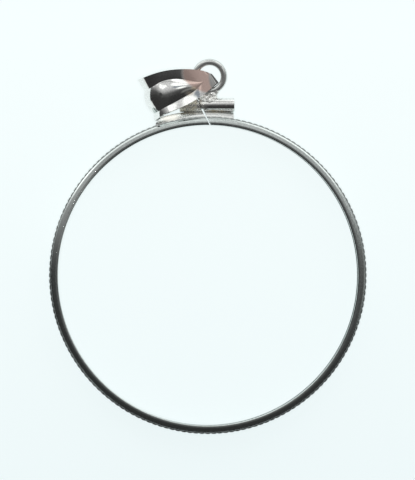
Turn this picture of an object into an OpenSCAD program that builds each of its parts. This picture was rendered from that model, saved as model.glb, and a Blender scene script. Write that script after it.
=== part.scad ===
// Coin bezel pendant frame. A reeded ring with a groove for the coin is sawn through at the top and
// drawn together by a screw in a small tube. A loop soldered to the tube carries a folded bail.
// The frame lies on its back lip: +Z is the ring's axis, and +X and +Y run across and up its front.
// The origin is the ring's centre, in its middle plane. All sizes are in millimetres.

/* [Coin] */
// Diameter of the coin that the frame holds
coin_d = 38.1; // [36:0.1:40.6]
// Thickness of the coin
coin_t = 2.4; // [2.2:0.1:2.6]
// Room round the coin while the saw cut stands open
coin_play = 0.1; // [0.05:0.05:0.2]
// Room across the coin's two faces together
coin_side_play = 0.2; // [0.1:0.05:0.3]

/* [Ring] */
// How far each lip reaches in over the coin's rim
lip_cover = 0.3; // [0.2:0.05:0.4]
// Thickness of each lip at its inner edge
lip_t = 0.35; // [0.3:0.05:0.45]
// Metal between the coin's groove and the roots of the reeds
wall_t = 0.57; // [0.5:0.01:0.7]
// Radius of the crown that rounds each lip off towards the reeded edge
crown_r = 1.15; // [0.95:0.05:1.4]
// Width of the flat land on the back lip, on which the frame lies
back_land = 0.3; // [0.2:0.05:0.35]
// Width of the flat land on the front lip
front_land = 0.1; // [0.05:0.05:0.2]

/* [Reeded edge] */
// Number of reeds round the edge
reed_count = 164; // [120:4:200]
// Height of a reed
reed_h = 0.13; // [0.08:0.01:0.16]
// Height of the reeded band along the ring's axis
band_h = 2.4; // [2:0.1:2.5]

/* [Screw tube] */
// Outer diameter of the tube
tube_d = 1.75; // [1.6:0.05:2]
// Diameter of the clamp screw
screw_d = 1; // [0.8:0.05:1.1]
// Room round the screw in its bore, on the radius
screw_gap = 0.03; // [0.02:0.01:0.05]
// Where the tube ends on the left of the ring's centre
tube_left = 3.5; // [3.2:0.1:3.5]
// Where the tube ends on the right of the ring's centre
tube_right = 3.35; // [3.2:0.05:4]
// How far the tube is sunk into the saddle under it
tube_sink = 0.2; // [0.1:0.05:0.25]
// How far each end of the screw lies inside the tube
screw_recess = 0.4; // [0.2:0.1:0.8]

/* [Saddle] */
// Thickness of the saddle on the roots of the reeds
saddle_t = 0.88; // [0.8:0.02:0.9]
// Width of the saddle along the ring's axis
saddle_w = 1.8; // [1.6:0.1:2]
// Where the saddle ends on the left of the ring's centre
saddle_left = 6.5; // [6:0.1:6.6]
// Where the saddle ends on the right of the ring's centre
saddle_right = 3.24; // [3:0.02:3.3]

/* [Saw cut] */
// Width of the saw cut
cut_w = 0.18; // [0.1:0.01:0.24]
// Lean of the saw cut away from upright
cut_lean = 27; // [24:1:28]
// Where the saw cut crosses the tube's axis, to the left of the ring's centre
cut_left = 0.96; // [0.86:0.02:1]

/* [Loop] */
// Outer diameter of the loop
loop_d = 4.4; // [4.2:0.1:4.6]
// Thickness of the loop's wire
wire_d = 0.72; // [0.65:0.01:0.76]
// Height of the loop's centre over the tube's axis
loop_rise = 3.56; // [3.5:0.02:3.6]
// Where the loop's centre lies on the right of the ring's centre
loop_right = 0.24; // [0.2:0.02:0.3]

/* [Bail] */
// Length of the bail from the ends of its leaves to the outside of its fold
bail_l = 9.25; // [9:0.05:9.3]
// Thickness of the folded bail over its two leaves
bail_h = 4.7; // [4.6:0.05:4.8]
// Thickness of the bail's sheet
sheet_t = 0.35; // [0.3:0.01:0.38]
// Gap between the two leaves where their ends meet inside the loop
leaf_gap = 0.08; // [0.05:0.01:0.12]
// How far the back leaf's end shows past the front one
leaf_slip = 0.12; // [0:0.02:0.16]
// Distance from the loop's centre to the ends of the leaves, away from the bail
tip_past_loop = 0.48; // [0.4:0.02:0.5]
// How far the bail's middle line passes below the loop's centre
tip_below_loop = 0.32; // [0.2:0.02:0.34]
// Direction in which the bail lies, from +X
bail_turn = 201.75; // [198:0.25:201.75]

/* [Hidden] */
$fn = 256;

seat_w = coin_t + coin_side_play;
half_t = seat_w / 2 + lip_t;
seat_r = coin_d / 2 + coin_play;
lip_r = coin_d / 2 - lip_cover;
root_r = seat_r + wall_t;
rim_step = 0.06;
rim_r = root_r - rim_step;
lip_edge = 0.06;
anchor_r = seat_r + wall_t / 2;
reed_pitch = 360 / reed_count;

tube_r = tube_d / 2;
saddle_r = root_r + saddle_t;
tube_y = saddle_r - tube_sink + tube_r;
bore_r = screw_d / 2 + screw_gap;
buried_r = (bore_r + tube_r) / 2;
saddle_foot = 0.1;
nose_l = 0.8;
nose_r = root_r + 0.34;

loop_c = [loop_right, tube_y + loop_rise];
loop_mid_r = (loop_d - wire_d) / 2;
neck_d = 1.1;
neck_right = 0.7;
// Lumps of solder: [place along the tube, radius, height over the tube's axis]
foot_lump = [0.4, 0.76, 1];
left_lump = [-1.75, 0.62, 0.92];
// How far the saw cut runs each way from the tube's axis
saw_reach = 3.2;

fold_out_r = bail_h / 2;
fold_mid_r = fold_out_r - sheet_t / 2;
fold_s = bail_l - fold_out_r;
leaf_end_t = (leaf_gap + sheet_t) / 2;
end_flat = 0.2;
lift_r = 0.6;
wire_cross_s = 1.4;
lift_angle = 2 * atan((fold_mid_r - leaf_end_t) / (fold_s - end_flat));
leaf_r = (fold_s - end_flat) / sin(lift_angle) - lift_r;
// The bail is tilted until the bowed back leaf all but touches the surface that the ring lies on.
rest_play = 0.006;
bow_up = leaf_r - fold_mid_r;
bow_run = fold_s - wire_cross_s;
bow_reach = leaf_r + sheet_t / 2 + rest_play - half_t;
bail_tilt = asin(bow_reach / norm([bow_up, bow_run])) - atan2(bow_up, bow_run);
lift_steps = 3;
leaf_steps = 10;
fold_steps = 8;

// Widths of the bail on either side of its middle line, at its ends and in full, and how far from
// its ends they are reached
upper_end = 0.52;
upper_full = 3.3;
upper_full_s = 8;
lower_end = 0.7;
lower_full = 1.95;
lower_full_s = 5.5;
lower_flare = 0.45;
lower_flare_s = 8;
// The ends are cut aslant, and the slant dies out within a short way from them
tip_slant = 0.3;
tip_slant_run = 1.2;

// The stamped dome: its half width, where it begins and is at its widest, and the depths round it
dome_half = 1.54;
dome_point = 0.08;
dome_from = 1.9;
dome_full_s = 7.2;
stamp_run = 3;
dome_shift = 0.43;
dome_bow = 0.042;
dome_crest_s = 6.2;
groove_depth = 0.46;
edge_drop = 0.15;

function arc(centre, r, from, to, steps) =
    [for (i = [0:steps])
        let (turn = from + (to - from) * i / steps)
        centre + r * [cos(turn), sin(turn)]];

// Half of the ring's section, from the lip's inner edge out to the rim, for one face of the ring.
function crowned_half(land) =
    let (
        crown_from = lip_r + lip_edge + land,
        turn = asin((rim_r - crown_from) / crown_r)
    )
    concat(
        [[lip_r, seat_w / 2]],
        arc([lip_r + lip_edge, half_t - lip_edge], lip_edge, 180, 90, 2),
        arc([crown_from, half_t - crown_r], crown_r, 90, 90 - turn, 8)
    );

function upside_down(points) =
    [for (i = [len(points) - 1:-1:0]) [points[i][0], -points[i][1]]];

module ring_body() {
    groove = [[seat_r, -seat_w / 2], [seat_r, seat_w / 2]];
    rotate_extrude()
        polygon(concat(crowned_half(front_land), upside_down(crowned_half(back_land)), groove));
}

// The reeds: one closed toothed outline, pressed up as a band that is buried in the ring's wall.
module reeded_band() {
    foot = 0.36;
    crest = 0.16;
    outline = [
        for (i = [0:reed_count - 1])
            for (step = [[-foot, 0], [-crest, reed_h], [crest, reed_h], [foot, 0]])
                (root_r + step[1]) * [cos((i + step[0]) * reed_pitch), sin((i + step[0]) * reed_pitch)]
    ];
    difference() {
        linear_extrude(height = band_h, center = true)
            polygon(outline);
        cylinder(r = anchor_r, h = 2 * band_h, center = true);
    }
}

// A half-round bar bent round the reeds, filed to a nose on the left so that the bail can lie against it.
module saddle() {
    over = saddle_r + 1;
    foot_r = root_r - saddle_foot;
    half_round = [
        for (a = [-90:15:90])
            [foot_r + (saddle_r - foot_r) * cos(a), saddle_w / 2 * sin(a)]
    ];
    intersection() {
        rotate_extrude()
            polygon(concat([[anchor_r, -saddle_w / 2]], half_round, [[anchor_r, saddle_w / 2]]));
        linear_extrude(height = 2 * saddle_w, center = true)
            polygon([
                [-saddle_left, 0],
                [-saddle_left, sqrt(nose_r ^ 2 - saddle_left ^ 2)],
                [nose_l - saddle_left, sqrt(saddle_r ^ 2 - (saddle_left - nose_l) ^ 2)],
                [nose_l - saddle_left, over],
                [saddle_right, over],
                [saddle_right, 0]
            ]);
    }
}

module along_tube(left, right, r) {
    translate([-left, tube_y, 0])
        rotate([0, 90, 0])
            cylinder(r = r, h = left + right);
}

module screw_tube() {
    difference() {
        along_tube(tube_left, tube_right, tube_r);
        along_tube(tube_left + 1, tube_right + 1, bore_r);
    }
}

module loop() {
    translate([loop_c[0], loop_c[1], 0])
        rotate_extrude()
            translate([loop_mid_r, 0])
                circle(d = wire_d, $fn = 36);
}

// Solder: a short neck that holds the loop to the tube, and a lump on each side of the saw cut. What
// lies inside the tube's wall is left out, so that none of it reaches the bore.
module solder() {
    difference() {
        union() {
            translate([neck_right, tube_y, 0])
                rotate([-90, 0, 0])
                    cylinder(d = neck_d, h = loop_rise - loop_mid_r);
            for (lump = [foot_lump, left_lump])
                translate([lump[0], tube_y, 0])
                    rotate([-90, 0, 0])
                        cylinder(r = lump[1], h = lump[2]);
        }
        along_tube(tube_left, tube_right, buried_r);
    }
}

module saw_cut() {
    translate([-cut_left, tube_y, 0])
        rotate([0, 0, cut_lean])
            cube([cut_w, 2 * saw_reach, 4 * half_t], center = true);
}

module bezel_frame() {
    color("silver")
        difference() {
            union() {
                ring_body();
                reeded_band();
                saddle();
                screw_tube();
                loop();
                solder();
            }
            saw_cut();
        }
}

module clamp_screw() {
    color("gainsboro")
        along_tube(tube_left - screw_recess, tube_right - screw_recess, screw_d / 2);
}

// The middle line of the bail's front leaf: [distance from the end, height, slope], from its end
// inside the loop, lifted over the wire, along the bowed leaf and round to the middle of the fold.
front_line = concat(
    [[0, leaf_end_t, 0]],
    [for (i = [0:lift_steps])
        let (a = lift_angle * i / lift_steps)
        [end_flat + lift_r * sin(a), leaf_end_t + lift_r * (1 - cos(a)), a]],
    [for (i = [1:leaf_steps])
        let (a = lift_angle * (1 - i / leaf_steps))
        [fold_s - leaf_r * sin(a), fold_mid_r - leaf_r * (1 - cos(a)), a]],
    [for (i = [1:fold_steps])
        let (a = 90 * i / fold_steps)
        [fold_s + fold_mid_r * sin(a), fold_mid_r * cos(a), -a]]
);
half_count = len(front_line);
// The back leaf mirrors the front one, and its end slips out past it.
back_line = [
    for (i = [half_count - 2:-1:0])
        let (p = front_line[i])
        [p[0] - leaf_slip * (1 - p[0] / bail_l), -p[1], -180 - p[2]]
];
bail_line = concat(front_line, back_line);

function grown(s, full_at, power) = 1 - (1 - min(1, max(0, s / full_at))) ^ power;
function upper_w(s) = upper_end + (upper_full - upper_end) * grown(s, upper_full_s, 2);
function lower_w(s) =
    lower_end
    + (lower_full - lower_end) * grown(s, lower_full_s, 1.8)
    + lower_flare * max(0, (s - lower_flare_s) / (bail_l - lower_flare_s));
function dome_w(s) = max(dome_point, dome_half * grown(s - dome_from, dome_full_s - dome_from, 2));
// The dome's middle line bows up off the bail's own, most at dome_crest_s.
function dome_mid(s) = dome_shift - dome_bow * (s - dome_crest_s) ^ 2;
function stamped(s) = grown(s - dome_from, stamp_run, 2);
// How far the slanted end shifts a point that lies s from the end and across from the middle line.
function slanted(s, across) = tip_slant * across * max(0, 1 - s / tip_slant_run);

// One section of the bail: [distance across, height over the middle line], from edge to edge.
function section(s) = concat(
    [[upper_w(s), -edge_drop * stamped(s)]],
    [for (k = [-3:3])
        [dome_mid(s) * stamped(s) - dome_w(s) * k / 3, -groove_depth * stamped(s) * (k / 3) ^ 2]],
    [[-lower_w(s), -edge_drop * stamped(s)]]
);
columns = len(section(0));
rows = len(bail_line);

function skin(side) = [
    for (i = [0:rows - 1])
        let (
            p = bail_line[i],
            slip = i < half_count ? 0 : leaf_slip * (1 - p[0] / bail_l)
        )
        for (q = section(p[0]))
            let (lift = q[1] + side * sheet_t / 2)
            [p[0] - lift * sin(p[2]) + slanted(p[0], q[0]), q[0] - slip, p[1] + lift * cos(p[2])]
];

module bail_sheet() {
    n = rows * columns;
    points = concat(skin(1), skin(-1));
    outer = [
        for (i = [0:rows - 2]) for (j = [0:columns - 2])
            let (a = i * columns + j)
            each [[a, a + columns, a + 1], [a + 1, a + columns, a + columns + 1]]
    ];
    inner = [for (f = outer) [f[0] + n, f[2] + n, f[1] + n]];
    sides = [
        for (i = [0:rows - 2])
            let (a = i * columns, b = a + columns - 1)
            each [[a, a + n, a + columns], [a + columns, a + n, a + columns + n],
                  [b, b + columns, b + n], [b + columns, b + columns + n, b + n]]
    ];
    ends = [
        for (j = [0:columns - 2])
            let (b = j + (rows - 1) * columns)
            each [[j, j + 1, j + n], [j + 1, j + 1 + n, j + n],
                  [b, b + n, b + 1], [b + 1, b + n, b + 1 + n]]
    ];
    polyhedron(points = points, faces = concat(outer, inner, sides, ends));
}

// The bail lies on the same surface as the frame, tilted up from the wire that its leaves straddle.
module bail() {
    along = [cos(bail_turn), sin(bail_turn)];
    tip = loop_c - tip_past_loop * along + tip_below_loop * [-along[1], along[0]];
    color("lightgray")
        translate([tip[0], tip[1], -wire_cross_s * sin(bail_tilt)])
            rotate([0, -bail_tilt, bail_turn])
                mirror([0, 1, 0])
                    bail_sheet();
}

bezel_frame();
clamp_screw();
bail();
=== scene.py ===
# %% [markdown]
# # A coin bezel pendant frame
# The object is an empty silver ring that clamps round a large coin. A screw in a small tube closes
# the ring's saw cut, a wire loop is soldered to the tube, and a folded bail swings on the loop.
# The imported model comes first, because it fixes every size and place that follows.

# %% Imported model
import math

import bmesh
import bpy
from mathutils import Matrix, Vector, noise


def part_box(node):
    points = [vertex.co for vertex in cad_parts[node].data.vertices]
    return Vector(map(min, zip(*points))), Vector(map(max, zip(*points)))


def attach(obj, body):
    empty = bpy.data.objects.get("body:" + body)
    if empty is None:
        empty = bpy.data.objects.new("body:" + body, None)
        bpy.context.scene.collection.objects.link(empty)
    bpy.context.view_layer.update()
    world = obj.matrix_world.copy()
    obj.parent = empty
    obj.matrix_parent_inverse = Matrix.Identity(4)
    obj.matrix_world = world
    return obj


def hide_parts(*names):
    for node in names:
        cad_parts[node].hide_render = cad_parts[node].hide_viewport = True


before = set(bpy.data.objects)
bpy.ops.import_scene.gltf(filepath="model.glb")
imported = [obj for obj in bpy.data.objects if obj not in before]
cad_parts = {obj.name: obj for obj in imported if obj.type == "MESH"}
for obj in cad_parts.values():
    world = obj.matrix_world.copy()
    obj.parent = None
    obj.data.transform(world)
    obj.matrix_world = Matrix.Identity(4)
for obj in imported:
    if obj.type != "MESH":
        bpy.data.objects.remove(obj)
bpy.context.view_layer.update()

# %% [markdown]
# Jewellery is measured in millimetres and tenths, so the meshes are built in millimetres and brought
# to metres at the very end. The ring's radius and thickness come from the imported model's box. The
# other sizes here are those that several pieces share, measured outwards from the ring: the reeds, the
# saddle on the ring, the tube that is sunk a little into the saddle, and the loop over the tube. They
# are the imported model's own. What only one piece needs stands with that piece.

# %% Shared sizes in millimetres
MM = 0.001
frame_low, frame_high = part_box("bezel_frame")
tip_r = -1000 * frame_low.x
half_t = 1000 * frame_high.z
reed_h = 0.13
root_r = tip_r - reed_h
saddle_h = 0.88
saddle_r = root_r + saddle_h
tube_r = 0.875
tube_sunk = 0.2
tube_y = saddle_r - tube_sunk + tube_r
loop_right, loop_rise = 0.24, 3.56
loop_c = Vector((loop_right, tube_y + loop_rise, 0))
print("ring radius", round(tip_r, 3), "tube at", round(tube_y, 3), "loop at", round(loop_c.y, 3))

# %% [markdown]
# The photograph looks almost straight down on the object, with the camera a little to its left, so
# that the far wall of the ring shows on the right. A camera could be dragged into place by eye, but
# angles from the ring's axis and a scale of eight pixels to the millimetre say the same in numbers. A
# long lens keeps the ring round. The picture is taller than it is wide, so Blender fits the sensor's
# width to the picture's height.

# %% Camera
PIXELS_PER_MM = 8.0
PICTURE_PIXELS = (415, 480)
RING_CENTRE_PIXEL = (207.6, 275.2)
SENSOR_MM = 36
lean_left, lean_up = math.radians(1.8), math.radians(0.3)
camera_away = 2400 * MM
middle = Vector((
    (PICTURE_PIXELS[0] / 2 - RING_CENTRE_PIXEL[0]) / PIXELS_PER_MM * MM,
    (RING_CENTRE_PIXEL[1] - PICTURE_PIXELS[1] / 2) / PIXELS_PER_MM * MM,
    0,
))
back = Vector((-math.tan(lean_left), math.tan(lean_up), 1)).normalized()
camera_data = bpy.data.cameras.new("camera")
camera = bpy.data.objects.new("camera", camera_data)
bpy.context.scene.collection.objects.link(camera)
bpy.context.scene.camera = camera
camera.location = middle + back * camera_away
right = Vector((0, 1, 0)).cross(back).normalized()
camera.rotation_mode = "QUATERNION"
camera.rotation_quaternion = Matrix((right, back.cross(right), back)).transposed().to_quaternion()
seen_height = PICTURE_PIXELS[1] / PIXELS_PER_MM * MM
camera_data.sensor_width = SENSOR_MM
camera_data.lens = SENSOR_MM * camera_away / seen_height
camera_data.clip_start, camera_data.clip_end = 0.01, 20
print("lens", round(camera_data.lens, 1), "mm at", round(camera_away, 3), "m")

# %% [markdown]
# Polished silver has hardly a colour of its own: it shows the room. So the light is designed first, as
# a photographer does for jewellery. Lamps could light the object, but in a mirror they show as bare
# discs and leave the rest black. A world shader that paints a room by direction gives every tone that
# the metal can show. A shader is a tree of nodes and links, which is long to write out. The helper
# below adds a node and joins it in one go, so that a recipe reads as a list of steps.

# %% World and node helper
scene = bpy.context.scene
scene.view_settings.view_transform = "Standard"
scene.world = bpy.data.worlds.new("studio")
scene.world.use_nodes = True


class Wires:
    """Adds nodes to a tree and joins them."""

    def __init__(self, tree):
        self.tree = tree
        self.tree.nodes.clear()

    def add(self, kind, inputs=None, **settings):
        node = self.tree.nodes.new(kind)
        for name, value in settings.items():
            setattr(node, name, value)
        for name, value in (inputs or {}).items():
            if isinstance(value, bpy.types.NodeSocket):
                self.tree.links.new(value, node.inputs[name])
            else:
                node.inputs[name].default_value = value
        return node

    def math(self, operation, a, b):
        return self.add("ShaderNodeMath", {0: a, 1: b}, operation=operation).outputs[0]

    def vector(self, operation, a, b=(0, 0, 0)):
        return self.add("ShaderNodeVectorMath", {0: a, 1: b}, operation=operation)

    def share(self, value, nothing, whole, to=(0.0, 1.0), smooth=False):
        """How far a value has come from nothing to whole, given in the range to."""
        node = self.add("ShaderNodeMapRange", {
            "Value": value, "From Min": nothing, "From Max": whole, "To Min": to[0], "To Max": to[1],
        })
        if smooth:
            node.interpolation_type = "SMOOTHSTEP"
        return node.outputs[0]

    def greys(self, value, stops):
        """Greys along a value from 0 to 1, given as (position, grey)."""
        node = self.add("ShaderNodeValToRGB", {0: value})
        elements = node.color_ramp.elements
        while len(elements) < len(stops):
            elements.new(0.5)
        for element, (position, grey) in zip(elements, stops):
            element.position = position
            element.color = (grey, grey, grey, 1)
        return node.outputs[0]

    def mix(self, amount, first, second, blend="MIX"):
        inputs = {0: amount, 6: first, 7: second}
        return self.add("ShaderNodeMix", inputs, data_type="RGBA", blend_type=blend).outputs[2]


print("world:", scene.world.name, "shown as", scene.view_settings.view_transform)

# %% [markdown]
# The wall of the room is dark over the lens and on the near side, and it gets paler towards the far
# side. Long low panels and round soft boxes are laid over it in turn, each with a colour of its own.
# The long white panel behind the object whitens the ring's bevel. The dim ones are grey cards, which
# hold a tone down where the metal would show the pale wall, and the bright ones are highlights.

# %% Lights of the room
# The wall's grey by how far off a direction points, from 0, near, to 1, far.
WALL = [
    (0.0, 0.036), (0.2, 0.038), (0.35, 0.045), (0.42, 0.072), (0.5, 0.1), (0.55, 0.21),
    (0.6, 0.35), (0.65, 0.48), (0.7, 0.6), (0.75, 0.66), (1.0, 0.68),
]
# What the wall's grey is multiplied by, from 0, left, to 1, right.
SIDES = [(0.0, 0.9), (0.5, 1.0), (0.75, 1.0), (0.8, 0.85), (1.0, 0.9)]
# The side it stands on, how squarely a direction faces it and how high it points, both from where the
# light is gone to where it is whole, and its colour.
PANELS = [
    ((-0.05, 1.0), (0.84, 0.88), (0.56, 0.48), (0.06, 0.06, 0.06)),
    ((0.0, 1.0), (0.42, 0.62), (0.4, 0.31), (1.5, 1.52, 1.5)),
    ((-0.79, -0.61), (0.94, 0.98), (0.17, 0.09), (0.86, 0.9, 0.88)),
]
# The direction it stands in, the degrees to which it is whole and those at which it is gone, and its
# colour.
highlight = (1.2, 1.22, 1.2)
SOFT_BOXES = [
    ((0.06, 0.95, 0.3), 8, 13, (0.62, 0.63, 0.62)),
    ((0.95, 0.0, 0.3), 8, 18, (0.22, 0.22, 0.215)),
    ((-0.24, 0.0, 0.97), 7, 13, (0.05, 0.05, 0.05)),
    ((0.84, -0.15, 0.52), 10, 14, (0.19, 0.19, 0.185)),
    ((0.48, 0.47, 0.74), 6, 9.5, (0.24, 0.265, 0.3)),
    ((-0.5, 0.8, 0.33), 10, 17, (1.3, 1.32, 1.3)),
    ((-0.16, 0.67, 0.725), 8.5, 11.5, highlight),
    ((0.0, 0.61, 0.79), 8, 11, highlight),
    ((0.45, 0.67, 0.59), 10.5, 13.5, highlight),
    ((0.58, 0.28, 0.76), 5, 8, highlight),
]
print("panels:", len(PANELS), "soft boxes:", len(SOFT_BOXES))

# %% [markdown]
# In the shader, a light is a share between 0 and 1 that depends on the direction, and the room's
# colour is mixed with the light's by that share. Each is laid over those before it.

# %% Room
# The left of the room is as dark as what lies nearer by this much.
left_nearer = 0.27
left_from, left_to = -0.1, -0.7


def low_panel(tree, room, axes, side, squarely, height, colour):
    """A long light close to the horizon, on the side that (x, y) names."""
    x_part = tree.math("MULTIPLY", axes[0], side[0])
    y_part = tree.math("MULTIPLY", axes[1], side[1])
    facing = tree.share(tree.math("ADD", x_part, y_part), *squarely, smooth=True)
    low = tree.share(axes[2], *height, smooth=True)
    return tree.mix(tree.math("MULTIPLY", facing, low), room, (*colour, 1))


def soft_box(tree, room, direction, toward, whole_to, gone_at, colour):
    """A round light, whole inside one angle from its direction and gone past another."""
    facing = tree.vector("DOT_PRODUCT", direction, Vector(toward).normalized()).outputs["Value"]
    gone, whole = math.cos(math.radians(gone_at)), math.cos(math.radians(whole_to))
    share = tree.share(facing, gone, whole, smooth=True)
    return tree.mix(share, room, (*colour, 1))


def light_the_room():
    tree = Wires(scene.world.node_tree)
    direction = tree.add("ShaderNodeTexCoord").outputs["Generated"]
    axes = tree.add("ShaderNodeSeparateXYZ", {0: direction}).outputs
    left = tree.share(axes[0], left_from, left_to)
    away = tree.math("SUBTRACT", axes[1], tree.math("MULTIPLY", left, left_nearer))
    away = tree.math("ADD", tree.math("MULTIPLY", away, 0.5), 0.5)
    across = tree.math("ADD", tree.math("MULTIPLY", axes[0], 0.5), 0.5)
    room = tree.mix(1.0, tree.greys(away, WALL), tree.greys(across, SIDES), "MULTIPLY")
    for panel in PANELS:
        room = low_panel(tree, room, axes, *panel)
    for box in SOFT_BOXES:
        room = soft_box(tree, room, direction, *box)
    shine = tree.add("ShaderNodeBackground", {"Color": room, "Strength": 1.0})
    tree.add("ShaderNodeOutputWorld", {"Surface": shine.outputs[0]})


light_the_room()
print("nodes in the world:", len(scene.world.node_tree.nodes))

# %% [markdown]
# The painted room is for what mirrors. What is matt, such as the solder's frosted skin, is lit by one
# lamp at the camera. The metal doesn't show the lamp, because it is hidden from glossy rays.

# %% Lamp
lamp_away = 2.4
overhead_data = bpy.data.lights.new("overhead", "AREA")
overhead_data.shape = "DISK"
overhead_data.size = 0.5
overhead_data.energy = 52
overhead = bpy.data.objects.new("overhead", overhead_data)
overhead.location = back * lamp_away
overhead.rotation_mode = "QUATERNION"
overhead.rotation_quaternion = camera.rotation_quaternion
overhead.visible_glossy = False
scene.collection.objects.link(overhead)
print("light:", overhead_data.energy, "W overhead")

# %% [markdown]
# The object lies on a light table. A plain white board would carry the object's shadow, and the table's
# own glow leaves hardly any. It is a little brighter on the far side, and far larger than the object.

# %% Floor
floor_half = 3
slope_from, slope_to = -0.03, 0.03
near_glow, far_glow = (0.65, 0.725, 0.735, 1), (0.72, 0.785, 0.785, 1)
floor_bm = bmesh.new()
bmesh.ops.create_grid(floor_bm, x_segments=1, y_segments=1, size=floor_half)
floor_mesh = bpy.data.meshes.new("floor")
floor_bm.to_mesh(floor_mesh)
floor_bm.free()
floor_mesh.transform(Matrix.Translation((0, 0, -half_t * MM)))
floor = bpy.data.objects.new("floor", floor_mesh)
scene.collection.objects.link(floor)
light_table = bpy.data.materials.new("light_table")
light_table.use_nodes = True
tree = Wires(light_table.node_tree)
place = tree.add("ShaderNodeSeparateXYZ", {0: tree.add("ShaderNodeTexCoord").outputs["Object"]})
far = tree.share(place.outputs[1], slope_from, slope_to)
glass = tree.add("ShaderNodeBsdfPrincipled", {
    "Base Color": (0.17, 0.18, 0.18, 1), "Roughness": 0.9, "Specular IOR Level": 0.0,
    "Emission Strength": 1.0, "Emission Color": tree.mix(far, near_glow, far_glow),
})
tree.add("ShaderNodeOutputMaterial", {"Surface": glass.outputs[0]})
floor_mesh.materials.append(light_table)
print("floor at", round(-half_t, 3), "mm")

# %% [markdown]
# Sterling silver that has been handled is a mirror with faults: fine hairlines that run every way, a
# slight ripple left by the polishing mop, and a film of tarnish that turns it warm where it is seldom
# rubbed. A plain metal colour would look like plastic from close by. The recipe is one function, so
# that each piece can have its own share of each fault, and its two masks come first. Patterns read
# Object coordinates, which are metres here, so their scales are large numbers.

# %% Hairlines and patches
# How far a set of hairlines is turned, in radians, and how thin it is.
HAIRS = ((0.3, 16000), (1.2, 22000), (2.2, 13000))


def hairlines(tree, coords):
    """Fine scratches: 0 on clear metal, 1 in a scratch."""
    hairs = None
    for turn, thin in HAIRS:
        grain = tree.add("ShaderNodeMapping", {
            "Vector": coords, "Rotation": (0.1, 0.2, turn), "Scale": (thin, thin / 60, thin / 60),
        })
        lines = tree.add("ShaderNodeTexNoise", {"Vector": grain.outputs[0], "Scale": 1.0, "Detail": 1.0})
        hair = tree.share(lines.outputs[0], 0.62, 0.8)
        hairs = hair if hairs is None else tree.math("MAXIMUM", hairs, hair)
    return hairs


def patches_mask(tree, coords, patches, whole=0.3):
    """Ellipsoids given as (centre in mm, radii in mm), whole inside that share of their radii."""
    total = None
    for centre, radii in patches:
        away = tree.vector("SUBTRACT", coords, Vector(centre) * MM).outputs[0]
        away = tree.vector("DIVIDE", away, Vector(radii) * MM).outputs[0]
        away = tree.vector("LENGTH", away).outputs["Value"]
        near = tree.share(away, 1.0, whole, smooth=True)
        total = near if total is None else tree.math("MAXIMUM", total, near)
    return total


print("hairlines run", len(HAIRS), "ways")

# %% [markdown]
# The recipe mixes the faults from three noises: the mop's waves, the pits and a cloud. The relief takes the
# waves, the pits and the hairlines. The colour is the metal's own where it is clean, and turns to the stain's
# where the cloud is thick. A crust, a milky film and a painted reflection patch each take some of the mirror
# away, and the polish is duller where the stain is. The clamp screw's plain metal is the first to be made
# with it.

# %% Silver
# The scales are waves to the metre, and the relief's height is in metres.
mop_scale, pit_scale = 900.0, 5200.0
relief_height = 0.00004
scratch_deep, pit_deep = 0.01, 0.3


def silver(
    name, colour, roughness, ripple=0.3, grit=0.0, matt=0.0, stain=(0.5, 0.4, 0.3),
    spots=(), films_and_painted_reflections=(), film=0.06, speckle=420.0, mottle=0.1, crust=0.0,
):
    """Ripple is the mop's long waves, grit is a fine pitting, and matt is the share of white frosted skin.

    Film is how strongly the stain speckles the whole piece. Spots are mottled patches of the stain, which is
    less of a mirror by the share crust. Films and painted reflections are plain patches, each given as
    (colour, how much of the mirror it takes, share of its radii inside which it is whole, patches).
    """
    material = bpy.data.materials.new(name)
    material.use_nodes = True
    tree = Wires(material.node_tree)
    coords = tree.add("ShaderNodeTexCoord").outputs["Object"]
    mop = tree.add("ShaderNodeTexNoise", {"Vector": coords, "Scale": mop_scale, "Detail": 2.0}).outputs[0]
    pits = tree.add("ShaderNodeTexNoise", {"Vector": coords, "Scale": pit_scale, "Detail": 2.0}).outputs[0]
    cloud = tree.add("ShaderNodeTexNoise", {
        "Vector": coords, "Scale": speckle, "Detail": 5.0, "Roughness": 0.6,
    }).outputs[0]

    scratches = tree.math("MULTIPLY", hairlines(tree, coords), scratch_deep)
    height = tree.math("SUBTRACT", tree.math("MULTIPLY", mop, ripple), scratches)
    height = tree.math("ADD", height, tree.math("MULTIPLY", pits, pit_deep * grit))
    relief = tree.add("ShaderNodeBump", {
        "Strength": 0.25, "Distance": relief_height, "Height": height,
    }).outputs[0]

    mask = tree.share(cloud, 0.55, 0.8, to=(0.0, film))
    if spots:
        blotches = tree.math("MULTIPLY", patches_mask(tree, coords, spots), tree.share(cloud, 0.35, 0.6))
        mask = tree.math("MAXIMUM", mask, blotches)
    worn = tree.share(pits, 0.36, 0.64, to=(1 - mottle, 1 + 0.6 * mottle))
    worn = tree.add("ShaderNodeCombineXYZ", {0: worn, 1: worn, 2: worn}).outputs[0]
    base = tree.mix(1.0, tree.mix(mask, (*colour, 1), (*stain, 1)), worn, "MULTIPLY")
    metal = 1 - matt
    if crust:
        metal = tree.math("SUBTRACT", metal, tree.math("MULTIPLY", mask, crust))
    # Each patch lays its colour on and takes its share of the mirror. Some are films, and others are painted
    # reflections.
    for tint, mirror_taken, whole, patches in films_and_painted_reflections:
        patch = patches_mask(tree, coords, patches, whole)
        base = tree.mix(patch, base, (*tint, 1))
        metal = tree.math("SUBTRACT", metal, tree.math("MULTIPLY", patch, mirror_taken))

    dull = tree.share(cloud, 0.0, 1.0, to=(0.7 * roughness, 1.4 * roughness))
    rough = tree.math("ADD", tree.math("MULTIPLY", mask, 0.22), dull)
    skin = tree.add("ShaderNodeBsdfPrincipled", {
        "Base Color": base, "Metallic": metal, "Roughness": rough, "Normal": relief,
    })
    tree.add("ShaderNodeOutputMaterial", {"Surface": skin.outputs[0]})
    print(name, "has", len(material.node_tree.nodes), "nodes")
    return material


screw_metal = silver("screw_metal", (0.7, 0.7, 0.69), 0.3)

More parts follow.
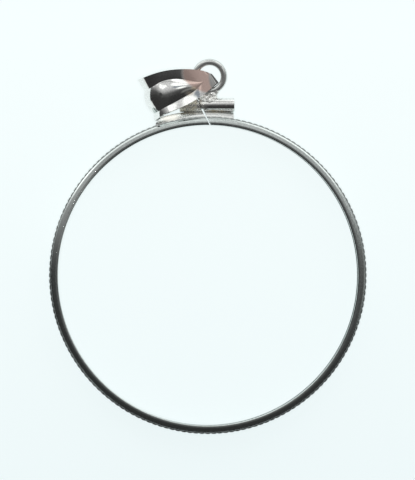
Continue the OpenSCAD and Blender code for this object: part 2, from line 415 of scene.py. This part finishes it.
# %% [markdown]
# Every piece ends the same way: points that coincide are merged, its normals are turned outwards, it is
# brought to metres, sharp corners are marked by angle, and it is put on its body. Smooth shading with
# marked corners keeps a curved wall smooth and an edge crisp at the same time.

# %% Finishing a piece
MERGE = 0.0005


def to_object(bm, name, material, smooth_angle=35):
    bmesh.ops.remove_doubles(bm, verts=bm.verts, dist=MERGE)
    bmesh.ops.recalc_face_normals(bm, faces=bm.faces)
    bmesh.ops.scale(bm, vec=(MM, MM, MM), verts=bm.verts)
    for face in bm.faces:
        face.smooth = True
    for edge in bm.edges:
        edge.smooth = edge.is_manifold and edge.calc_face_angle(0) < math.radians(smooth_angle)
    mesh = bpy.data.meshes.new(name)
    bm.to_mesh(mesh)
    bm.free()
    mesh.materials.append(material)
    piece = bpy.data.objects.new(name, mesh)
    scene.collection.objects.link(piece)
    return piece


def put(piece, body, slot, *nodes):
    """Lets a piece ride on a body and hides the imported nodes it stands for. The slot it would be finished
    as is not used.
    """
    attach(piece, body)
    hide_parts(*nodes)
    print(piece.name, "has", len(piece.data.polygons), "faces")


print("points closer than", MERGE, "mm are merged")

# %% [markdown]
# Ring, saddle, tube and loop are all round about some line, so each starts as a section that is spun.
# The pen draws such a section in the XZ plane, as lines and arcs. An arc is itself a spin, of the last
# point.

# %% Pen for sections
class Pen:
    def __init__(self, bm, x, z):
        self.bm = bm
        self.last = self.first = bm.verts.new((x, 0, z))

    def line(self, x, z):
        there = self.bm.verts.new((x, 0, z))
        self.bm.edges.new((self.last, there))
        self.last = there

    def arc(self, centre_x, centre_z, degrees, steps):
        made = bmesh.ops.spin(
            self.bm, geom=[self.last], cent=(centre_x, 0, centre_z), axis=(0, 1, 0),
            angle=math.radians(degrees), steps=steps,
        )
        self.last = next(part for part in made["geom_last"] if isinstance(part, bmesh.types.BMVert))

    def close(self):
        self.bm.edges.new((self.last, self.first))


ABOUT_Z = {"cent": (0, 0, 0), "axis": (0, 0, 1)}
print("pen ready, spins go about", ABOUT_Z["axis"])

# %% [markdown]
# The jeweller saws the ring, the saddle and the tube through in one cut, which leans to the left going
# up. A boolean with a thin block would do it, but it can leave slivers on the reeds. Here each piece
# gets two parallel plane cuts, what is between them is removed, and the ends are closed. Only the
# faces near the tube are cut, because the same planes cross the ring again on its far side. The cut is
# 0.2 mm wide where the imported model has 0.18 mm, as it looks in the photograph.

# %% Saw cut
cut_w, cut_lean, cut_left = 0.2, math.radians(27), 0.96
saw_reach = 3.6


def saw(bm, bridge=False):
    """Saws a piece through. The ends of a tube are bridged from wall to wall, other ends are filled."""
    across = Vector((math.cos(cut_lean), math.sin(cut_lean), 0))
    centre = Vector((-cut_left, tube_y, 0))
    for side in (-0.5, 0.5):
        near = [face for face in bm.faces if (face.calc_center_median() - centre).length < saw_reach]
        parts = list({part for face in near for part in (*face.verts, *face.edges)}) + near
        bmesh.ops.bisect_plane(bm, geom=parts, plane_co=centre + side * cut_w * across, plane_no=across)
    between = [
        face for face in bm.faces
        if (face.calc_center_median() - centre).length < saw_reach
        and abs((face.calc_center_median() - centre).dot(across)) < cut_w / 2
    ]
    bmesh.ops.delete(bm, geom=between, context="FACES")
    for side in (-1, 1):
        rim = [
            edge for edge in bm.edges
            if edge.is_boundary and side * (edge.verts[0].co - centre).dot(across) > 0
        ]
        if bridge:
            bmesh.ops.bridge_loops(bm, edges=rim)
        else:
            bmesh.ops.holes_fill(bm, edges=rim, sides=0)


print("saw cut", cut_w, "mm wide, leans", round(math.degrees(cut_lean)), "degrees")

# %% [markdown]
# The ring is one section spun round its axis: two lips with a groove for the coin between them. Each
# lip has three faces, which the light shows as three bands: a nearly flat land at the window, a cone,
# and a steep bevel at the reeds. Half the section is drawn, spun over one reed, and mirrored. Where two
# faces meet, the corner is rounded, because on polished metal a sharp edge would show no light line.

# %% Ring section
# The floor of the coin's groove, and half the groove's width.
seat_r, seat_half = 19.15, 1.3
# Radii of the window and of the outer ends of the land, the cone and the bevel.
lip_r, land_r, bevel_r, rim_r = 18.75, 19.13, 19.48, root_r - 0.06
# The degrees by which the land, the cone and the bevel fall outwards.
slight, slope, steep = 3.5, 13, 37
lip_round, land_round, bevel_round, rim_round = 0.14, 0.1, 0.15, 0.05
# Half the width of the reeded band, how far in from its ends the reeds are full, and the ledge at it.
band_half, reed_drop = 1.2, 0.15
ledge = [(rim_r, band_half + 0.012), (root_r - 0.02, band_half + 0.008)]


def corner(pen, x, z, tilt, next_tilt, radius):
    """Goes on to a corner between two faces, which fall outwards by their tilts in degrees, and rounds it."""
    fall = math.radians(tilt)
    reach = radius * math.tan(math.radians(next_tilt - tilt) / 2)
    x, z = x - reach * math.cos(fall), z + reach * math.sin(fall)
    pen.line(x, z)
    pen.arc(x - radius * math.sin(fall), z - radius * math.cos(fall), next_tilt - tilt, 3)


land_z = half_t - (land_r - lip_r) * math.tan(math.radians(slight))
bevel_z = land_z - (bevel_r - land_r) * math.tan(math.radians(slope))
rim_z = bevel_z - (rim_r - bevel_r) * math.tan(math.radians(steep))
ring_bm = bmesh.new()
pen = Pen(ring_bm, seat_r, 0)
pen.line(seat_r, seat_half)
pen.line(lip_r, seat_half)
corner(pen, lip_r, half_t, -90, slight, lip_round)
corner(pen, land_r, land_z, slight, slope, land_round)
corner(pen, bevel_r, bevel_z, slope, steep, bevel_round)
corner(pen, rim_r, rim_z, steep, 90, rim_round)
for x, z in (*ledge, (root_r, band_half), (root_r, band_half - reed_drop), (root_r, 0)):
    pen.line(x, z)
print("points in half the section:", len(ring_bm.verts))

# %% [markdown]
# The reeds could be 164 little bars, but on the real ring they are rolled into the wall, so here the
# wall itself is pushed out in waves, less so at the two ends of the reeds. Only one reed is shaped. It
# is then repeated round the ring, first to a quarter and then to the whole.

# %% Reeds
reed_count = 164
steps_per_reed = 8
pitch = math.tau / reed_count
# How far the wall stands out in a valley, as a share of a reed's height, along the band and at its ends.
valley, end_valley = 0.2, 0.38
# At the ends the whole reed is lower by this share, and it is drawn in by this much.
end_share, end_dip = 0.85, 0.012
# A reed's flank starts this far from its middle and is this long, as shares of the pitch.
flank_from, flank_l = 0.46, 0.26
wall_near = 0.01


def reed(turn, lowest):
    """How far the wall stands out at a turn in radians: 1 on a reed, and the given share in a valley."""
    share = abs((turn / math.tau * reed_count + 0.5) % 1 - 0.5)
    rise = min(1.0, max(0.0, (flank_from - share) / flank_l))
    return lowest + (1 - lowest) * rise * rise * (3 - 2 * rise)


bmesh.ops.spin(ring_bm, geom=[*ring_bm.verts, *ring_bm.edges], angle=pitch, steps=steps_per_reed, **ABOUT_Z)
bmesh.ops.mirror(ring_bm, geom=[*ring_bm.verts, *ring_bm.edges, *ring_bm.faces], axis="Z", merge_dist=MERGE)
bmesh.ops.remove_doubles(ring_bm, verts=ring_bm.verts, dist=MERGE)
for vert in ring_bm.verts:
    radius = vert.co.xy.length
    if radius > root_r - wall_near:
        at_end = abs(vert.co.z) > band_half - wall_near
        rise = reed(math.atan2(vert.co.y, vert.co.x), end_valley if at_end else valley)
        if at_end:
            vert.co.z -= math.copysign(end_dip * rise, vert.co.z)
            rise *= end_share
        vert.co.xy *= (root_r + reed_h * rise) / radius
for copies, apart in ((reed_count // 4 - 1, pitch), (3, math.tau / 4)):
    whole = [*ring_bm.verts, *ring_bm.edges, *ring_bm.faces]
    bmesh.ops.spin(ring_bm, geom=whole, angle=copies * apart, steps=copies, use_duplicate=True, **ABOUT_Z)
    bmesh.ops.remove_doubles(ring_bm, verts=ring_bm.verts, dist=MERGE)
saw(ring_bm)
print("reeds:", reed_count, "at", round(pitch * tip_r, 3), "mm")

# %% [markdown]
# The ring's silver is finely pitted from wear. At its upper left a plain patch of paler metal, a little less
# of a mirror, is painted on: a painted reflection that makes that part of the ring brighter.

# %% Ring
# Painted reflection: paler metal laid on the ring's upper left, where the ring would mirror the light.
painted_reflection_tint = (0.92, 0.98, 0.96)
ring_silver = silver(
    "ring_silver", (0.64, 0.688, 0.675), 0.15, grit=1.2, mottle=0.12,
    films_and_painted_reflections=[(painted_reflection_tint, 0.08, 0.3, [((-17.2, 8.6, 0.0), (9.5, 9.5, 5))])],
)
ring = to_object(ring_bm, "ring", ring_silver, smooth_angle=50)
put(ring, "frame", "frame_silver", "bezel_frame")

# %% [markdown]
# The saddle is the bright crescent on top of the ring: a half-round bar bent to the ring, on which the
# tube sits. A curve with a bevel would give the bar as well, but a spun section has plain ends. These
# are then filed with plane cuts, the left one to a nose, so that the bail can lie against it.

# %% Saddle
# Half its height, and its reach to the left and right of the ring's middle.
saddle_half, saddle_left, saddle_right = 0.9, 6.5, 3.24
# It is spun this much too long, so that the cuts have something to take away.
saddle_spare = 0.3
foot_r = root_r - 0.1
# The radius at the nose's end, and the length over which it falls to that.
nose_r, nose_l = root_r + 0.34, 0.8


def trim(bm, point, outwards):
    """Cuts away all that lies outwards of a point, and closes the end."""
    bmesh.ops.bisect_plane(
        bm, geom=[*bm.verts, *bm.edges, *bm.faces], plane_co=point, plane_no=outwards, clear_outer=True,
    )
    bmesh.ops.holes_fill(bm, edges=[edge for edge in bm.edges if edge.is_boundary], sides=0)


saddle_bm = bmesh.new()
pen = Pen(saddle_bm, foot_r, saddle_half)
for step in range(1, 13):
    angle = math.radians(90 - 15 * step)
    pen.line(foot_r + (saddle_r - foot_r) * math.cos(angle), saddle_half * math.sin(angle))
pen.close()
start = math.acos((saddle_right + saddle_spare) / saddle_r)
stop = math.acos(-(saddle_left + saddle_spare) / saddle_r)
bmesh.ops.rotate(saddle_bm, verts=saddle_bm.verts, matrix=Matrix.Rotation(start, 3, "Z"))
section = saddle_bm.faces.new(list(saddle_bm.verts))
bmesh.ops.spin(
    saddle_bm, geom=[section, *section.verts, *section.edges], angle=stop - start, steps=60, **ABOUT_Z,
)
bmesh.ops.remove_doubles(saddle_bm, verts=saddle_bm.verts, dist=MERGE)
nose_low = Vector((-saddle_left, math.sqrt(nose_r**2 - saddle_left**2), 0))
nose_high = Vector((nose_l - saddle_left, math.sqrt(saddle_r**2 - (saddle_left - nose_l) ** 2), 0))
nose_along = nose_high - nose_low
trim(saddle_bm, Vector((saddle_right, 0, 0)), Vector((1, 0, 0)))
trim(saddle_bm, Vector((-saddle_left, 0, 0)), Vector((-1, 0, 0)))
trim(saddle_bm, nose_low, Vector((-nose_along.y, nose_along.x, 0)))
saw(saddle_bm)
print("saddle from", -saddle_left, "to", saddle_right, "mm")

# %% [markdown]
# Heat from the soldering has left tan spots where the saddle meets the tube. Near its nose a milky white
# patch, much less of a mirror, is painted on: a painted reflection that makes the crescent bright there.

# %% Saddle finish
# Painted reflection: a milky white patch near the nose, matt white where the metal would mirror the light.
nose_painted_reflection = (0.97, 0.95, 0.88)
saddle_silver = silver(
    "saddle_silver", (0.76, 0.775, 0.76), 0.22, grit=1.0, matt=0.1,
    stain=(0.52, 0.46, 0.34), speckle=1800.0, mottle=0.1,
    spots=[((-3.6, saddle_r - 0.2, 0.6), (2.6, 0.4, 1.0)), ((1.2, saddle_r - 0.1, 0.6), (2.4, 0.35, 1.0))],
    films_and_painted_reflections=[(nose_painted_reflection, 0.6, 0.3, [((-4.7, saddle_r - 0.85, 0.6), (1.7, 0.9, 1.6))])],
)
saddle = to_object(saddle_bm, "saddle", saddle_silver)
put(saddle, "frame", "frame_silver", "bezel_frame")

# %% [markdown]
# The screw tube is drawn tubing, sawn through with the ring. Two cylinders and a boolean would make it,
# but its wall is simpler as a rectangle spun round the tube's own line. Its outer corners are eased
# with a bevel, as a file would. A tan crust is left on it where it was soldered, left of the cut.

# %% Screw tube
bore_r = 0.53
tube_left, tube_right = 3.5, 3.35
file_mark = 0.09
tube_silver = silver(
    "tube_silver", (0.88, 0.885, 0.87), 0.15, ripple=0.8, grit=2.5,
    stain=(0.56, 0.53, 0.4), speckle=3600.0, mottle=0.15, crust=0.4,
    spots=[((-2.4, tube_y - 0.1, 0.7), (2.6, 1.3, 1.2))],
)
tube_bm = bmesh.new()
pen = Pen(tube_bm, -tube_left, bore_r)
for x, z in ((-tube_left, tube_r), (tube_right, tube_r), (tube_right, bore_r)):
    pen.line(x, z)
pen.close()
bmesh.ops.spin(
    tube_bm, geom=[*tube_bm.verts, *tube_bm.edges], cent=(0, 0, 0), axis=(1, 0, 0),
    angle=math.tau, steps=96, use_merge=True,
)
bmesh.ops.remove_doubles(tube_bm, verts=tube_bm.verts, dist=MERGE)
outer_rims = [
    edge for edge in tube_bm.edges
    if all(abs(vert.co.yz.length - tube_r) < MERGE for vert in edge.verts)
    and edge.verts[0].co.x * edge.verts[1].co.x > 0
]
bmesh.ops.bevel(
    tube_bm, geom=outer_rims, offset=file_mark, segments=3, profile=0.5, affect="EDGES", material=-1,
)
bmesh.ops.translate(tube_bm, vec=(0, tube_y, 0), verts=tube_bm.verts)
saw(tube_bm, bridge=True)
tube = to_object(tube_bm, "screw_tube", tube_silver)
put(tube, "frame", "frame_silver", "bezel_frame")

# %% [markdown]
# The clamp screw hides in the tube. Only its slotted end shows, from the side: a cylinder sunk below
# the tube's mouth, with a slot for the screwdriver. Two plane cuts mark the slot on the end, and the
# strip between them is extruded inwards. A thread would never be seen, so there is none.

# %% Clamp screw
slot_half, slot_deep = 0.1, 0.3
screw_low, screw_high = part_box("clamp_screw")
screw_r = 500 * (screw_high.y - screw_low.y)
screw_l = 1000 * (screw_high.x - screw_low.x)
screw_bm = bmesh.new()
bmesh.ops.create_cone(
    screw_bm, cap_ends=True, segments=64, radius1=screw_r, radius2=screw_r, depth=screw_l,
    matrix=Matrix.Rotation(math.pi / 2, 4, "Y"),
)
for side in (-slot_half, slot_half):
    bmesh.ops.bisect_plane(
        screw_bm, geom=[*screw_bm.verts, *screw_bm.edges, *screw_bm.faces],
        plane_co=(0, side, 0), plane_no=(0, 1, 0),
    )
slot_faces = [
    face for face in screw_bm.faces
    if face.calc_center_median().x > screw_l / 2 - 0.01 and abs(face.calc_center_median().y) < slot_half / 2
]
pushed = bmesh.ops.extrude_face_region(screw_bm, geom=slot_faces)
slot_floor = [part for part in pushed["geom"] if isinstance(part, bmesh.types.BMVert)]
bmesh.ops.delete(screw_bm, geom=slot_faces, context="FACES")
bmesh.ops.translate(screw_bm, vec=(-slot_deep, 0, 0), verts=slot_floor)
bmesh.ops.translate(screw_bm, vec=500 * (screw_low + screw_high), verts=screw_bm.verts)
screw = to_object(screw_bm, "clamp_screw_slotted", screw_metal)
put(screw, "frame", "screw_steel", "clamp_screw")

# %% [markdown]
# The loop is round wire bent in a circle and soldered shut at its foot. It is a circle spun round the
# loop's centre: the pen draws the wire's section as an arc that stops one step short, and closes it.
# The wire is 0.8 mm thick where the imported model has 0.72 mm, as it looks in the photograph.

# %% Loop
wire_r, loop_mid_r = 0.4, 1.8
wire_sides = 24
wire_silver = silver("wire_silver", (0.64, 0.655, 0.64), 0.12, grit=0.8, matt=0.12, mottle=0.1)
loop_bm = bmesh.new()
pen = Pen(loop_bm, loop_mid_r + wire_r, 0)
pen.arc(loop_mid_r, 0, 360 - 360 / wire_sides, wire_sides - 1)
pen.close()
bmesh.ops.spin(
    loop_bm, geom=[*loop_bm.verts, *loop_bm.edges], angle=math.tau, steps=120, use_merge=True, **ABOUT_Z,
)
bmesh.ops.translate(loop_bm, vec=loop_c, verts=loop_bm.verts)
loop = to_object(loop_bm, "loop", wire_silver, smooth_angle=60)
put(loop, "frame", "frame_silver", "bezel_frame")

# %% [markdown]
# The solder here is a short neck under the loop, a foot that spreads over the tube as far as the saw
# cut, and a lump on the tube left of the cut. It is laid down as balls, each a centre and its radii.
# Its skin is partly frosted, and speckled with tan.

# %% Solder balls
neck_x = 0.62
neck = [
    ((neck_x, tube_y + 1.2, 0), (0.6, 0.85, 0.45)),
    ((neck_x + 0.42, tube_y + 1.7, 0.0), (0.36, 0.42, 0.4)),
    ((neck_x - 0.1, tube_y + 0.78, 0.1), (0.85, 0.4, 0.6)),
]
foot = [
    ((0.2, tube_y + 0.42, 0.14), (1.05, 0.55, 0.74)),
    ((-0.45, tube_y + 0.5, 0.3), (0.4, 0.42, 0.5)),
    ((-0.3, tube_y + 0.85, 0.1), (0.7, 0.55, 0.5)),
]
left_lump = [((-1.75, tube_y + 0.3, 0.1), (0.62, 0.62, 0.62))]
solder_silver = silver(
    "solder_silver", (0.82, 0.83, 0.8), 0.22, ripple=1.2, grit=1.8, matt=0.25,
    stain=(0.4, 0.38, 0.31), film=0.6, speckle=2400.0, mottle=0.3,
)
print("balls of solder:", len(neck + foot + left_lump))

# %% [markdown]
# Solder runs where it is hot and freezes as a lumpy fillet. It could be sculpted by hand, but melted
# balls come closer to how it flows: a voxel remesh joins them, a smoothing relaxes the skin, and a
# noise pushes it about.

# %% Solder
voxel, lumps = 0.05, 0.06


def melted(name, balls, material):
    """Joins balls, each given as (centre, radii) in mm, into one lumpy skin."""
    bm = bmesh.new()
    for centre, radii in balls:
        place = Matrix.Translation(centre) @ Matrix.Diagonal((*radii, 1))
        bmesh.ops.create_icosphere(bm, subdivisions=3, radius=1, matrix=place)
    lump = to_object(bm, name, material, smooth_angle=180)
    remesh = lump.modifiers.new("melt", "REMESH")
    remesh.mode = "VOXEL"
    remesh.voxel_size = voxel * MM
    relaxed = lump.modifiers.new("relax", "SMOOTH")
    relaxed.factor, relaxed.iterations = 0.5, 6
    shape = bpy.data.meshes.new_from_object(lump.evaluated_get(bpy.context.evaluated_depsgraph_get()))
    lump.modifiers.clear()
    lump.data = shape
    for vert in shape.vertices:
        at = vert.co / MM
        push = noise.noise(at * 2.3) + 0.5 * noise.noise(at * 6.1 + Vector((5, 1, 3)))
        vert.co += vert.normal * (lumps * push * MM)
    for polygon in shape.polygons:
        polygon.use_smooth = True
    return lump


solder = melted("solder", neck + foot + left_lump, solder_silver)
put(solder, "frame", "frame_silver", "bezel_frame")

# %% [markdown]
# The bail starts, like the real one, as a flat blank of sheet. Its two leaves swing out from the
# straddled wire over a small bend, bow away from each other, and meet in a round fold. All lengths are
# measured from the leaves' ends. The bend, the bow and the fold meet without a kink, which fixes the
# bow's radius. The bail lies tilted, with the bow of its back leaf a hair over the table.

# %% Bail sizes in millimetres
# The length over the fold, the height over both leaves, and the sheet's thickness.
bail_l, bail_h, sheet_t = 9.25, 4.7, 0.35
# The gap between the leaves' ends, and how far the back leaf has slipped.
leaf_gap, leaf_slip = 0.08, 0.12
leaf_end = (leaf_gap + sheet_t) / 2
# The fold's radius at the sheet's middle, and where the fold starts.
fold_r = bail_h / 2 - sheet_t / 2
fold_at = bail_l - bail_h / 2
# The flat end of a leaf, the radius of the bend after it, and where the leaves cross the wire.
end_flat, lift_r, wire_at = 0.2, 0.6, 1.4
lift_angle = 2 * math.atan((fold_r - leaf_end) / (fold_at - end_flat))
leaf_r = (fold_at - end_flat) / math.sin(lift_angle) - lift_r
leaf_run = end_flat + (lift_r + leaf_r) * lift_angle + fold_r * math.pi / 2
table_gap = 0.006
# The centre of the back leaf's bow, seen from the wire, and how high the tilt has to bring it.
bow_up, bow_run = leaf_r - fold_r, fold_at - wire_at
bow_z = leaf_r + sheet_t / 2 + table_gap - half_t
bail_tilt = math.asin(bow_z / math.hypot(bow_up, bow_run)) - math.atan2(bow_up, bow_run)
bail_turn = math.radians(201.75)
# Where the leaves' ends lie from the loop's centre.
tip_past_loop, tip_below_loop = 0.48, 0.32
print("leaf", round(leaf_run, 2), "mm long, bail tilts", round(math.degrees(bail_tilt), 2), "degrees")

# %% [markdown]
# The blank's outline and the raised teardrop are given by their widths along the leaf. The maker of
# the real bail cuts and stamps it with steel dies, and these short rules stand for the dies: each width
# rises from the leaf's end and levels out towards the fold.

# %% Bail outline and stamping
def grown(along, full_at, power):
    """Rises from 0 at the leaf's end to 1 at a distance along it, fast at first."""
    return 1 - (1 - min(1.0, max(0.0, along / full_at))) ** power


def upper_w(along):
    """How far the blank reaches above its middle line."""
    return 0.52 + 2.78 * grown(along, 8, 2)


def lower_w(along):
    """How far it reaches below, with a flare at the fold."""
    return 0.7 + 1.25 * grown(along, 5.5, 1.8) + 0.45 * max(0.0, (along - 8) / (bail_l - 8))


def dome_w(along):
    """Half the width of the teardrop."""
    return max(0.08, 1.54 * grown(along - 1.9, 5.3, 2))


def dome_mid(along):
    """How far the teardrop's middle lies above the blank's, in the full stamping."""
    return 0.43 - 0.042 * (along - 6.2) ** 2


def stamped(along):
    """How deep the stamping is: 0 at the leaf's end, 1 in full."""
    share = min(1.0, max(0.0, (along - 1.7) / 2.9))
    return share**1.5 * (2.5 - 1.5 * share)


print("widths at the fold:", [round(width(fold_at), 2) for width in (upper_w, lower_w, dome_w)])

# %% [markdown]
# The front leaf's middle line runs over the flat end, the bend, the bow and half of the fold. The back
# leaf is its mirror image, slipped by a hair, as the photograph shows at the tip.

# %% Bail fold
def front_line(run):
    """A point of the middle line of the front leaf: (distance from the end, height, slope)."""
    lift_run, bow_length = lift_r * lift_angle, leaf_r * lift_angle
    if run < end_flat:
        return run, leaf_end, 0.0
    run -= end_flat
    if run < lift_run:
        angle = run / lift_r
        return end_flat + lift_r * math.sin(angle), leaf_end + lift_r * (1 - math.cos(angle)), angle
    run -= lift_run
    if run < bow_length:
        angle = lift_angle - run / leaf_r
        return fold_at - leaf_r * math.sin(angle), fold_r - leaf_r * (1 - math.cos(angle)), angle
    angle = (run - bow_length) / fold_r
    return fold_at + fold_r * math.sin(angle), fold_r * math.cos(angle), -angle


print("the line ends at", [round(value, 3) for value in front_line(leaf_run)])

# %% [markdown]
# The blank is a grid whose columns run across it. They are shared out so that some lie exactly on the
# two stamped grooves beside the teardrop, which keeps the grooves crisp. Each point is moved by three
# rules in turn: the outline, the stamping and the fold.

# %% Bail blank
UPPER, DOME, LOWER, ROWS = 12, 24, 10, 180
groove_deep, edge_deep = 0.46, 0.15
end_slant, slant_run = 0.3, 1.2


def shoulder(share):
    """How deep the blank lies between a groove and the edge, at that share of the way out."""
    return groove_deep + (edge_deep - groove_deep) * share**0.8


def across_at(column, along):
    """(distance across, height) of a column of the blank, from its upper edge to its lower one."""
    depth = stamped(along)
    mid, half = dome_mid(along) * depth, dome_w(along)
    if column <= UPPER:
        share = 1 - column / UPPER
        return mid + half + share * (upper_w(along) - mid - half), -depth * shoulder(share)
    if column <= UPPER + DOME:
        side = 1 - 2 * (column - UPPER) / DOME
        return mid + half * side, -depth * groove_deep * side * side
    share = (column - UPPER - DOME) / LOWER
    return mid - half - share * (lower_w(along) + mid - half), -depth * shoulder(share)


def folded(column, row):
    """The place in the bail's own frame of a point of the blank. Rows past the middle are the back leaf."""
    run = 2 * leaf_run * row / ROWS
    front = run <= leaf_run
    along, height, slope = front_line(run if front else 2 * leaf_run - run)
    across, lift = across_at(column, along)
    slip = 0 if front else leaf_slip * (1 - along / bail_l)
    slant = end_slant * across * max(0.0, 1 - along / slant_run)
    x, z = along - lift * math.sin(slope) + slant, height + lift * math.cos(slope)
    return Vector((x - slip, across - slip, z if front else -z))


columns = UPPER + DOME + LOWER
bail_bm = bmesh.new()
bmesh.ops.create_grid(bail_bm, x_segments=columns, y_segments=ROWS, size=0.5)
for vert in bail_bm.verts:
    column = round((vert.co.x + 0.5) * columns)
    row = round((vert.co.y + 0.5) * ROWS)
    vert.co = folded(column, row)
print("blank of", columns, "by", ROWS, "faces, folded")

# %% [markdown]
# The folded blank is laid where the photograph shows it: its leaves straddle the wire, and it points to
# the left and a little down. Solidify then gives the sheet its thickness, and a small bevel eases its
# edges so that they catch the light. The tip has a pinkish film, which ends in a plain grey: there the
# mirror comes back, so that film's share is below zero. A small orange patch lies by the teardrop.

# %% Bail
pink, grey, orange = (0.5, 0.375, 0.335), (0.42, 0.42, 0.41), (0.7, 0.56, 0.38)
bail_silver = silver(
    "bail_silver", (0.88, 0.885, 0.87), 0.09, ripple=0.15,
    films_and_painted_reflections=[
        (pink, 0.35, 0.85, [((1.0, 25.3, 1.0), (4.7, 2.8, 5.0))]),
        (grey, -0.35, 0.85, [((2.25, 24.9, 1.0), (2.3, 3.0, 5.0))]),
        (orange, 0.22, 0.2, [((-2.5, 22.8, 1.0), (1.0, 0.55, 2.0)), ((-1.9, 23.3, 1.0), (0.7, 0.5, 2.0))]),
    ],
)
toward_fold = Vector((math.cos(bail_turn), math.sin(bail_turn), 0))
below = Vector((-toward_fold.y, toward_fold.x, 0))
tip = loop_c - tip_past_loop * toward_fold + tip_below_loop * below
bail_place = (
    Matrix.Translation((tip.x, tip.y, -wire_at * math.sin(bail_tilt)))
    @ Matrix.Rotation(bail_turn, 4, "Z")
    @ Matrix.Rotation(-bail_tilt, 4, "Y")
    @ Matrix.Diagonal((1, -1, 1, 1))
)
bmesh.ops.transform(bail_bm, matrix=bail_place, verts=bail_bm.verts)
bail = to_object(bail_bm, "bail_sheet", bail_silver, smooth_angle=180)
sheet = bail.modifiers.new("sheet", "SOLIDIFY")
sheet.thickness = sheet_t * MM
sheet.offset = 0
sheet.use_even_offset = True
ease = bail.modifiers.new("eased_edges", "BEVEL")
ease.width = 0.06 * MM
ease.segments = 3
ease.limit_method = "ANGLE"
ease.angle_limit = math.radians(60)
put(bail, "bail", "bail_silver", "bail")
